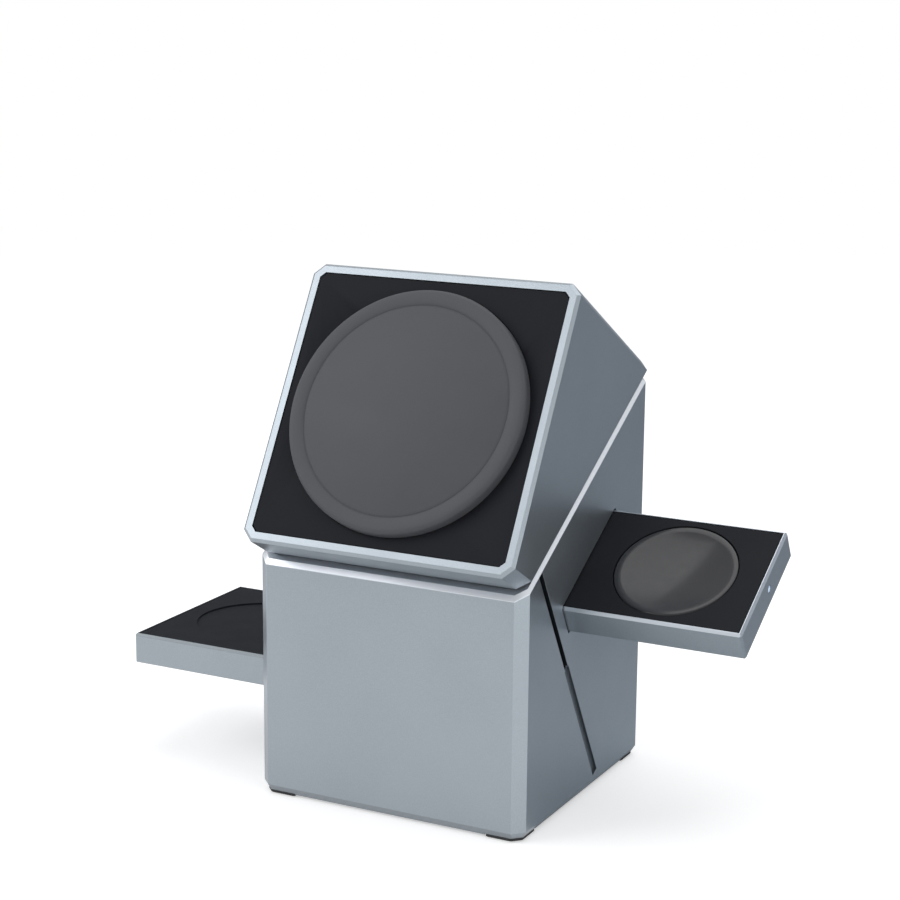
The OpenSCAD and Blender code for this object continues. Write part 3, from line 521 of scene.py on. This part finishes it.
def softPad():
    # profile from the middle out: flat face, a shallow ring, an edge rolled by a quarter circle, and
    # down into its seat
    pad = {"ringR": 24.2, "ringHalf": 0.5, "ringDepth": 0.3, "edge": 1.1}
    seat = seatOf(vertsOf("phone_pad"), faceWay)
    r, thick = seat["size"][0] / 2, seat["size"][2]
    profile = [[0, 0], [pad["ringR"] - pad["ringHalf"], 0], [pad["ringR"], -pad["ringDepth"]],
               [pad["ringR"] + pad["ringHalf"], 0]]
    roll = np.linspace(0, math.pi / 2, 8)
    edge = np.stack([r - pad["edge"] + pad["edge"] * np.sin(roll), pad["edge"] * (np.cos(roll) - 1)], -1)
    profile = np.concatenate([profile, edge, [[r, -thick], [0, -thick]]])
    return place(seat, revolve(profile, 144))


def watchPuck():
    # the dish's height is the sphere's: dishR - sqrt(dishR^2 - r^2), up to a rounded rim
    puck = {"dishR": 70.0, "rim": 1.2, "roll": 0.5, "flange": 0.5, "flangeDrop": 1.25, "cavity": 1.2}
    seat = seatOf(vertsOf("watch_puck"), cutWay)
    r, thick = seat["size"][0] / 2 - puck["flange"], seat["size"][2]
    inner = r - puck["rim"]
    deep = puck["dishR"] - math.sqrt(puck["dishR"] ** 2 - inner ** 2)
    reach = np.linspace(0, inner, 24)
    dish = np.stack([reach, puck["dishR"] - np.sqrt(puck["dishR"] ** 2 - reach ** 2) - deep], -1)
    turn = np.linspace(0, math.pi / 2, 7)
    lip = np.stack([r - puck["roll"] * (1 - np.sin(turn)), puck["roll"] * (np.cos(turn) - 1)], -1)
    wide, roof = r + puck["flange"], puck["cavity"] - thick
    wall = [[r, -puck["flangeDrop"]], [wide, -puck["flangeDrop"]], [wide, -thick], [inner, -thick],
            [inner, roof], [0, roof]]
    return place(seat, revolve(np.concatenate([dish, lip, wall]), 144))


buildPiece("phone_soft_pad", [softPad()], "head", finishOf["soft_pad"], ["phone_pad"])
buildPiece("watch_charging_puck", [watchPuck()], "watch_tray", finishOf["puck"], ["watch_puck"])


def lightPin():
    # a round pin whose end face is a low dome: radius r sin t, height a quarter of r (cos t - 1)
    seat = seatOf(vertsOf("watch_light"), rightWay, upWay)
    r, length = seat["size"][0] / 2, seat["size"][2]
    turn = np.linspace(0, math.pi / 2, 6)
    dome = np.stack([r * np.sin(turn), 0.25 * r * (np.cos(turn) - 1)], -1)
    return place(seat, revolve(np.concatenate([dome, [[r, -length], [0, -length]]]), 32))


buildPiece("watch_light_pin", [lightPin()], "watch_tray", finishOf["light_pin"],
           ["watch_light"])

# Wound coils stand for the plain rings
coils = {"phone_coil": {"axis": faceWay, "inner": 9.0, "turns": 12},
         "watch_coil": {"axis": cutWay, "inner": 5.0, "turns": 9},
         "ear_coil": {"axis": upWay, "inner": 7.0, "turns": 10}}
for node, coil in coils.items():
    seat = seatOf(vertsOf(node), coil["axis"])
    half = seat["size"][2] / 2
    winding = spiralTube(coil["inner"], seat["size"][0] / 2, coil["turns"], half)
    seat["origin"] = seat["origin"] - half * coil["axis"]
    buildPiece(node + "_winding", [place(seat, winding)], bodyOf[node], finishOf["copper"],
               [node])
print("pad, puck, light and coils made")

# Screws with a hexagon socket and a cut thread, flat heads in countersinks and pan heads on top
headShapes = {"flat": {"height": 1.3, "shankR": 1.2},
              "pan": {"height": 1.0, "shankR": 0.88, "dome": [(0.8, 0.0), (0.95, 0.1), (1.0, 0.35)]}}
screwKinds = {
    "plate_screws": {"axis": -upWay, "shape": "flat"},
    "frame_screws": {"axis": -upWay, "shape": "flat"},
    "deck_screws": {"axis": cutWay, "shape": "flat"},
    "head_deck_screws": {"axis": -cutWay, "shape": "flat"},
    "shaft_screws": {"axis": cutWay, "shape": "pan"},
    "carrier_screws": {"axis": -faceWay, "shape": "pan"},
    "watch_stop_screw": {"axis": -cutWay, "shape": "pan", "single": True},
    "ear_stop_screw": {"axis": -upWay, "shape": "pan", "single": True}}


def threadedScrew(headR, length, shape):
    # rows run from the socket's floor up over the head and down the shank. The socket is a hexagon:
    # r = a / cos(angle within a sixth); the thread takes depth * |2 * frac(z / pitch - turn) - 1| off r
    screw = {"pitch": 0.45, "threadDepth": 0.18, "socket": 0.46, "socketDepth": 0.8, "socketRim": 0.1,
             "rimWiden": 1.08, "brokenEdge": 0.08, "cols": 30, "tip": 0.5, "tipNarrow": 0.6}
    plain, hexagon, thread = 0, 1, 2     # the kinds of row
    headH, shankR = headShapes[shape]["height"], headShapes[shape]["shankR"]
    turn = np.linspace(0, 2 * math.pi, screw["cols"], endpoint=False)[None, :]
    socketR = headR * screw["socket"]
    deep = min(screw["socketDepth"], 0.7 * headH)
    sixth = math.pi / 3
    hexShape = math.cos(sixth / 2) / np.cos((turn % sixth) - sixth / 2)
    rows = [(0.0, -deep, hexagon), (socketR, -deep, hexagon), (socketR, -screw["socketRim"], hexagon),
            (socketR * screw["rimWiden"], 0, hexagon)]
    if shape == "flat":
        rows += [(headR - screw["brokenEdge"], 0, plain), (headR, -screw["brokenEdge"], plain)]
    else:
        rows += [(share * headR, -down, plain) for share, down in headShapes[shape]["dome"]]
        rows.append((headR, -headH, plain))
    rows.append((shankR, -headH, plain))
    z = np.arange(-headH - 0.05, -length + screw["tip"], -screw["pitch"] / 5)
    shank = np.stack([np.full(len(z), shankR), z, np.full(len(z), thread)], -1)
    tip = [(shankR - screw["threadDepth"], -length + screw["tip"], plain),
           (screw["tipNarrow"] * shankR, -length, plain), (0.0, -length, plain)]
    table = np.concatenate([rows, shank, tip])
    r, z, kind = (table[:, i:i + 1] for i in range(3))
    saw = np.abs(2 * np.mod(z / screw["pitch"] - turn / (2 * math.pi), 1) - 1)
    reach = r * np.where(kind == hexagon, hexShape, 1.0)
    reach = reach - np.where(kind == thread, screw["threadDepth"] * saw, 0.0)
    return np.stack([reach * np.cos(turn), reach * np.sin(turn), z + 0 * turn], -1)


for node, kind in screwKinds.items():
    places = vertsOf(node)
    seats = [seatOf(places, kind["axis"])] if kind.get("single") else quarterSeats(places, kind["axis"])
    width, _, length = seats[0]["size"]
    grids = [place(seat, threadedScrew(width / 2, length, kind["shape"])) for seat in seats]
    buildPiece(node + "_threaded", grids, bodyOf[node], finishOf["steel"], [node])
print("screws made")


def oval(width, height, cols):
    # a flat oval: two half circles joined by straight lines, walked evenly by angle
    turn = np.linspace(0, 2 * math.pi, cols, endpoint=False)
    return np.stack([np.sign(np.cos(turn)) * (width - height) / 2 + height / 2 * np.cos(turn),
                     height / 2 * np.sin(turn)], -1)


def inletSocket():
    # the oval at each inset and depth: outside to the mouth, over a rolled lip, and down the inside
    socket = {"wall": 0.3, "lip": 0.12, "floor": 1.2, "rollIn": 0.04, "rollDown": 0.03, "cols": 48}
    seat = seatOf(vertsOf("usb_c_socket"), rearWay)
    w, h, deep = seat["size"]
    steps = [(0, -deep), (0, -socket["lip"]), (socket["rollIn"], -socket["rollDown"]),
             (socket["wall"] / 2, 0.0), (socket["wall"] - socket["rollIn"], -socket["rollDown"]),
             (socket["wall"], -socket["lip"]), (socket["wall"], socket["floor"] - deep)]
    rings = [np.column_stack([oval(w - 2 * inset, h - 2 * inset, socket["cols"]),
                              np.full(socket["cols"], z)]) for inset, z in steps]
    return seat, place(seat, np.stack(rings))


def roundedBar(x, y, z, bar):
    # a bar down the socket's depth, with the corners of its outline and its front end rounded
    w, t, cut = bar["w"] / 2, bar["t"] / 2, bar["corner"]
    corners = np.array([[x - w, y - t], [x + w, y - t], [x + w, y + t], [x - w, y + t]])
    return loft(corners, cut * 2, [cut, cut / 3, 0, 0], [z, z - cut / 3, z - cut, z - bar["length"]], 3)


seat, shellGrid = inletSocket()
tongue = {"w": 6.7, "t": 0.7, "length": 5.4, "corner": 0.12, "down": 0.75}
contact = {"w": 0.26, "t": 0.08, "length": 3.4, "corner": 0.03, "down": 1.1, "count": 12, "pitch": 0.5}
tongueGrid = roundedBar(0, 0, -tongue["down"], tongue)
contactX = (np.arange(contact["count"]) - (contact["count"] - 1) / 2) * contact["pitch"]
contactGrids = [place(seat, roundedBar(x, side * tongue["t"] / 2, -contact["down"], contact))
                for x in contactX for side in (-1, 1)]
buildPiece("inlet_shell", [shellGrid], "base", finishOf["steel"], ["usb_c_socket"])
buildPiece("inlet_tongue", [place(seat, tongueGrid)], "base", finishOf["moulding"])
buildPiece("inlet_contacts", contactGrids, "base", finishOf["gold"])
print("inlet made")

# Studio: a pale floor that fades to white, lamps from the left, above and the right, and a grey card
studio = {"floorRadius": 4.0, "floorSides": 96, "floorGap": 0.0002, "floorTone": (0.86, 0.86, 0.86),
          "floorLift": 0.46, "fadeFrom": 0.35, "fadeTo": 1.1, "ambient": 0.42, "aim": (0.0, 0.0, 0.05)}
lamps = {"keyLamp": {"spot": (-0.75, -0.55, 0.70), "size": (0.7, 0.7), "power": 4.5},
         "topLamp": {"spot": (0.1, 0.25, 1.0), "size": (0.9, 0.9), "power": 3.5},
         "edgeLamp": {"spot": (0.72, -0.36, 0.12), "size": (0.35, 0.3), "power": 1.2}}

# The card lies on the floor, then stands up: each row has a radius, a height, a first and a last angle
card = {"rows": [(0.030, 0.0004, 46, 226), (0.12, 0.0004, 78, 250), (0.27, 0.0004, 86, 255),
                 (0.27, 0.24, 86, 255)],
        "cols": 25, "fade": (0.06, 0.2), "nearPaintedLight": (0.84, 0.90, 0.96), "tone": (0.44, 0.48, 0.54)}
white = (1, 1, 1, 1)


def rayMask(tree):
    # camera, glossy and transmission rays see the white of the studio
    rays = tree.nodes.new("ShaderNodeLightPath")
    total = rays.outputs["Is Camera Ray"]
    for other in ("Is Glossy Ray", "Is Transmission Ray"):
        add = tree.nodes.new("ShaderNodeMath")
        add.operation = "MAXIMUM"
        tree.links.new(total, add.inputs[0])
        tree.links.new(rays.outputs[other], add.inputs[1])
        total = add.outputs[0]
    return total


def makeFloor():
    # near the object it takes light and shadow with a lift of its own; far out it is plain white
    sides = studio["floorSides"]
    turn = np.linspace(0, 2 * math.pi, sides, endpoint=False)
    rim = np.stack([np.cos(turn), np.sin(turn), np.full(sides, -studio["floorGap"])], -1)
    rim[:, :2] *= studio["floorRadius"]
    mesh = bpy.data.meshes.new("floor")
    mesh.from_pydata(rim.tolist(), [], [list(range(sides))])
    paint = Paint("floorWhite", studio["floorTone"], 0.9)
    seen = rayMask(paint.tree)
    black = paint.node("ShaderNodeEmission", {"Strength": 0.0})
    lift = paint.node("ShaderNodeEmission", {"Color": white, "Strength": studio["floorLift"]})
    lifted = paint.node("ShaderNodeMixShader", {0: seen, 1: black.outputs[0], 2: lift.outputs[0]})
    near = paint.node("ShaderNodeAddShader", {0: paint.shader.outputs[0], 1: lifted.outputs[0]})
    plain = paint.node("ShaderNodeEmission", {"Color": white, "Strength": 1.0})
    farAway = paint.times(paint.spread(paint.reach(), studio["fadeFrom"], studio["fadeTo"], 0, 1), seen)
    mixed = paint.node("ShaderNodeMixShader", {0: farAway, 1: near.outputs[0], 2: plain.outputs[0]})
    paint.tree.links.new(mixed.outputs[0], paint.tree.nodes["Material Output"].inputs["Surface"])
    mesh.materials.append(paint.material)
    floor = bpy.data.objects.new("floor", mesh)
    bpy.context.scene.collection.objects.link(floor)


def makeWorld():
    world = bpy.data.worlds.new("studioWorld")
    bpy.context.scene.world = world
    world.use_nodes = True
    tree = world.node_tree
    plain = tree.nodes["Background"]
    plain.inputs["Strength"].default_value = studio["ambient"]
    plain.inputs["Color"].default_value = white
    seenWhite = tree.nodes.new("ShaderNodeBackground")
    seenWhite.inputs["Color"].default_value = white
    seenWhite.inputs["Strength"].default_value = 1.0
    mix = tree.nodes.new("ShaderNodeMixShader")
    tree.links.new(rayMask(tree), mix.inputs[0])
    tree.links.new(plain.outputs[0], mix.inputs[1])
    tree.links.new(seenWhite.outputs[0], mix.inputs[2])
    tree.links.new(mix.outputs[0], tree.nodes["World Output"].inputs["Surface"])


def softLamp(name, look):
    lamp = bpy.data.lights.new(name, "AREA")
    lamp.shape = "RECTANGLE"
    lamp.size, lamp.size_y = look["size"]
    lamp.energy = look["power"]
    holder = bpy.data.objects.new(name, lamp)
    holder.location = look["spot"]
    ahead = Vector(studio["aim"]) - Vector(look["spot"])
    holder.rotation_euler = ahead.to_track_quat("-Z", "Y").to_euler()
    bpy.context.scene.collection.objects.link(holder)


def greyCard():
    # a card round the right and rear that only reflections see: (r sin t, -r cos t, z) along each row
    r, z, first, last = (np.array(values)[:, None] for values in zip(*card["rows"]))
    cols = card["cols"]
    turn = np.radians(first + (last - first) * np.linspace(0, 1, cols))
    places = np.stack([r * np.sin(turn), -r * np.cos(turn), z + 0 * turn], -1)
    corner = np.arange(len(r) - 1)[:, None] * cols + np.arange(cols - 1)
    quads = np.stack([corner, corner + 1, corner + cols + 1, corner + cols], -1)
    mesh = bpy.data.meshes.new("rightCard")
    mesh.from_pydata(places.reshape(-1, 3).tolist(), [], quads.reshape(-1, 4).tolist())
    paint = Paint("cardCloth", card["tone"], 0.9)
    # the card is painted lighter near the object, painted light that offsets the object's shadow on it
    far = paint.spread(paint.reach(), *card["fade"], 0, 1)
    paint.join(paint.blend(far, card["nearPaintedLight"], card["tone"]), "Base Color")
    mesh.materials.append(paint.material)
    piece = bpy.data.objects.new("rightCard", mesh)
    piece.visible_camera = piece.visible_diffuse = piece.visible_shadow = False
    bpy.context.scene.collection.objects.link(piece)


makeFloor()
makeWorld()
for name, look in lamps.items():
    softLamp(name, look)
greyCard()
print("studio made")

# Camera: a long lens from the front right, a little above, fitted to the straight edges in the photo
cameraSet = {"azimuth": 27.211, "elevation": 12.552, "roll": 0.511, "lens": 86.11,
             "aimRight": 0.33 * mm, "aimUp": 75.42 * mm, "distance": 501.35 * mm}


def makeCamera():
    a, e, roll = (math.radians(cameraSet[k]) for k in ("azimuth", "elevation", "roll"))
    ahead = Vector((-math.sin(a) * math.cos(e), math.cos(a) * math.cos(e), -math.sin(e)))
    level = Vector((math.cos(a), math.sin(a), 0))
    upright = level.cross(ahead)
    right = math.cos(roll) * level + math.sin(roll) * upright
    up = math.cos(roll) * upright - math.sin(roll) * level
    data = bpy.data.cameras.new("photoCamera")
    data.lens = cameraSet["lens"]
    data.sensor_width = 36
    data.clip_start, data.clip_end = 0.01, 50
    camera = bpy.data.objects.new("photoCamera", data)
    spot = cameraSet["aimRight"] * right + cameraSet["aimUp"] * up - cameraSet["distance"] * ahead
    turned = Matrix((right, up, -ahead)).transposed().to_4x4()
    turned.translation = spot
    camera.matrix_world = turned
    bpy.context.scene.collection.objects.link(camera)
    bpy.context.scene.camera = camera


makeCamera()
bpy.context.scene.view_settings.view_transform = "Standard"
print("camera set")
